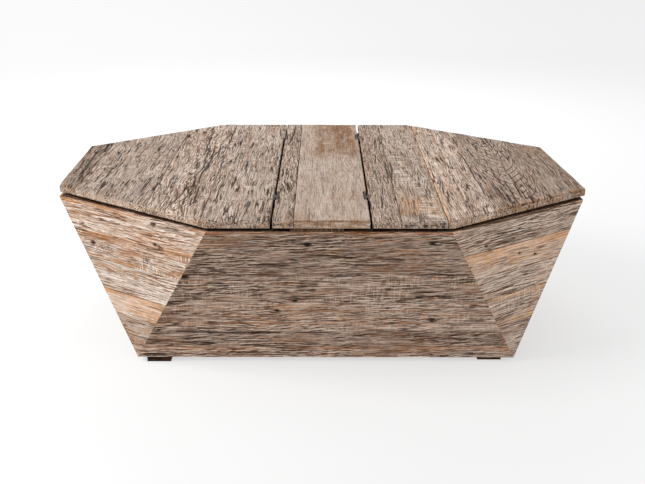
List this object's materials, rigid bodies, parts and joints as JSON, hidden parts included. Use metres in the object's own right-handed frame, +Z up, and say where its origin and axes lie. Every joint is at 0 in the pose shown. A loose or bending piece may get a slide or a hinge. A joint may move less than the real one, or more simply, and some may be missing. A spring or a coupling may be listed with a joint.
{
  "type": "storage chest",
  "caption": "Low faceted storage chest of reclaimed planks, an elongated octagon at the top on a rectangular base, with a fixed centre panel and two hinged lids.",
  "frame": {"origin": "on the floor under the middle of the chest's box", "axes": "+Z up, the length along X, the wide front wall faces -Y"},
  "size_m": [1.36, 0.91, 0.405],
  "materials": {
    "weathered_top": "weathered grey-beige boards, unfinished, with checks and saw marks",
    "brown_wall": "weathered grey-brown planks, unfinished",
    "pale_facet": "whitish and tan planks, weathered, with saw marks",
    "tan_facet": "grey-brown and tan planks, weathered, with saw marks",
    "grey_wall": "weathered grey-brown planks, unfinished",
    "brown_strip": "rough sawn brown strips",
    "floor_wood": "rough sawn brown board",
    "dark_foot": "dark stained wood blocks",
    "old_steel": "dull dark hinges"
  },
  "bodies": {
    "chest": {"back_left_foot": "dark_foot", "back_left_plank_1": "grey_wall", "back_left_plank_2": "grey_wall", "back_plank_1": "grey_wall", "back_plank_2": "grey_wall", "back_right_foot": "dark_foot", "back_right_plank_1": "grey_wall", "back_right_plank_2": "grey_wall", "centre_board_narrow": "weathered_top", "centre_board_wide": "weathered_top", "centre_cleat_narrow": "brown_strip", "centre_cleat_wide": "brown_strip", "floor_panel": "floor_wood", "front_left_foot": "dark_foot", "front_left_plank_1": "pale_facet", "front_left_plank_2": "pale_facet", "front_left_plank_3": "pale_facet", "front_left_plank_4": "pale_facet", "front_left_plank_5": "pale_facet", "front_plank_1": "brown_wall", "front_plank_2": "brown_wall", "front_plank_3": "brown_wall", "front_plank_4": "brown_wall", "front_plank_5": "brown_wall", "front_right_foot": "dark_foot", "front_right_plank_1": "tan_facet", "front_right_plank_2": "tan_facet", "front_right_plank_3": "tan_facet", "front_right_plank_4": "tan_facet", "front_right_plank_5": "tan_facet", "left_back_hinge_fixed_leaf": "old_steel", "left_back_hinge_pin": "old_steel", "left_front_hinge_fixed_leaf": "old_steel", "left_front_hinge_pin": "old_steel", "left_plank_1": "grey_wall", "left_plank_2": "grey_wall", "right_back_hinge_fixed_leaf": "old_steel", "right_back_hinge_pin": "old_steel", "right_front_hinge_fixed_leaf": "old_steel", "right_front_hinge_pin": "old_steel", "right_plank_1": "grey_wall", "right_plank_2": "grey_wall"},
    "left_lid": {"left_back_hinge_moving_leaf": "old_steel", "left_front_hinge_moving_leaf": "old_steel", "left_lid_back_batten": "brown_strip", "left_lid_board_1": "weathered_top", "left_lid_board_2": "weathered_top", "left_lid_board_3": "weathered_top", "left_lid_board_4": "weathered_top", "left_lid_front_batten": "brown_strip"},
    "right_lid": {"right_back_hinge_moving_leaf": "old_steel", "right_front_hinge_moving_leaf": "old_steel", "right_lid_back_batten": "brown_strip", "right_lid_board_1": "weathered_top", "right_lid_board_2": "weathered_top", "right_lid_board_3": "weathered_top", "right_lid_board_4": "weathered_top", "right_lid_board_5": "weathered_top", "right_lid_board_6": "weathered_top", "right_lid_front_batten": "brown_strip"}
  },
  "joints": [
    {"name": "left_lid_hinge", "type": "hinge", "parent": "chest", "child": "left_lid", "pos_m": [-0.101, 0, 0.4005], "axis": [0, 1, 0], "range_deg": [0, 95]},
    {"name": "right_lid_hinge", "type": "hinge", "parent": "chest", "child": "right_lid", "pos_m": [0.1165, 0, 0.4005], "axis": [0, -1, 0], "range_deg": [0, 95]}
  ]
}
